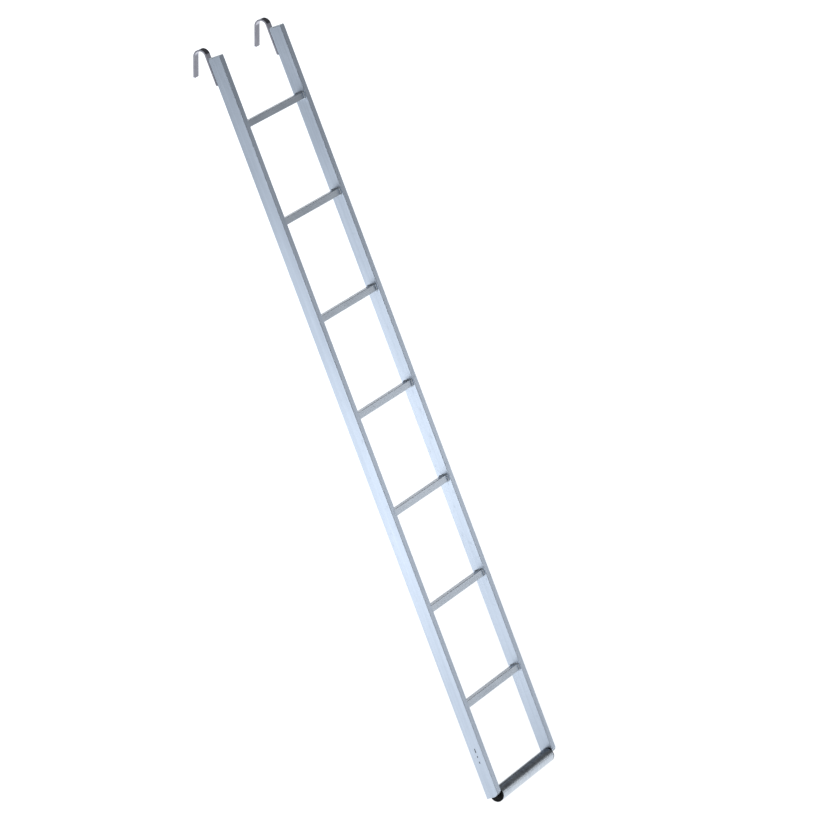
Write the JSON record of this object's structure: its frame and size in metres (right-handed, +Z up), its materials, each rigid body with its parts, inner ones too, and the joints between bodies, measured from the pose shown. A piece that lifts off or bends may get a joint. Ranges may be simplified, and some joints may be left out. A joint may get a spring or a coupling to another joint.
{
  "type": "boat boarding ladder",
  "caption": "Leaning boarding ladder of welded box-section aluminium, with strap hooks that hang over a boat's rail and a free roller between its feet.",
  "frame": {"origin": "where the boat's rail bears under the bends of the two hooks, midway between them", "axes": "+Z up, +Y along the rungs towards the right rail as seen by the person climbing, +X away from the boat, towards that person"},
  "size_m": [0.9822, 0.415, 2.1493],
  "materials": {
    "rail": "satin natural anodised extrusion",
    "rung": "satin natural anodised extrusion",
    "weld": "as-welded bead, brushed bright",
    "hook": "bent flat bar, polished stainless",
    "fastener": "plain stainless",
    "grey_plastic": "moulded grey",
    "black_nylon": "moulded black",
    "roller": "smooth drawn tube",
    "axle": "turned stainless rod",
    "washer": "black acetal ring"
  },
  "bodies": {
    "ladder": {"left_rail": "rail", "right_rail": "rail", "rung_1": "rung", "left_weld_1": "weld", "right_weld_1": "weld", "rung_2": "rung", "left_weld_2": "weld", "right_weld_2": "weld", "rung_3": "rung", "left_weld_3": "weld", "right_weld_3": "weld", "rung_4": "rung", "left_weld_4": "weld", "right_weld_4": "weld", "rung_5": "rung", "left_weld_5": "weld", "right_weld_5": "weld", "rung_6": "rung", "left_weld_6": "weld", "right_weld_6": "weld", "rung_7": "rung", "left_weld_7": "weld", "right_weld_7": "weld", "left_hook": "hook", "left_hook_rivet_1": "fastener", "left_hook_rivet_2": "fastener", "right_hook": "hook", "right_hook_rivet_1": "fastener", "right_hook_rivet_2": "fastener", "left_top_plug": "grey_plastic", "right_top_plug": "grey_plastic", "left_axle_block": "black_nylon", "left_foot_cap": "grey_plastic", "left_block_screw": "fastener", "right_axle_block": "black_nylon", "right_foot_cap": "grey_plastic", "right_block_screw": "fastener", "roller_axle": "axle", "left_thrust_washer": "washer", "right_thrust_washer": "washer"},
    "roller": {"roller_tube": "roller", "left_roller_cap": "black_nylon", "right_roller_cap": "black_nylon"}
  },
  "joints": [
    {"name": "roller_spin", "type": "hinge", "parent": "ladder", "child": "roller", "pos_m": [0.9397, 0, -2.12331], "axis": [0, 1, 0], "continuous": true}
  ]
}
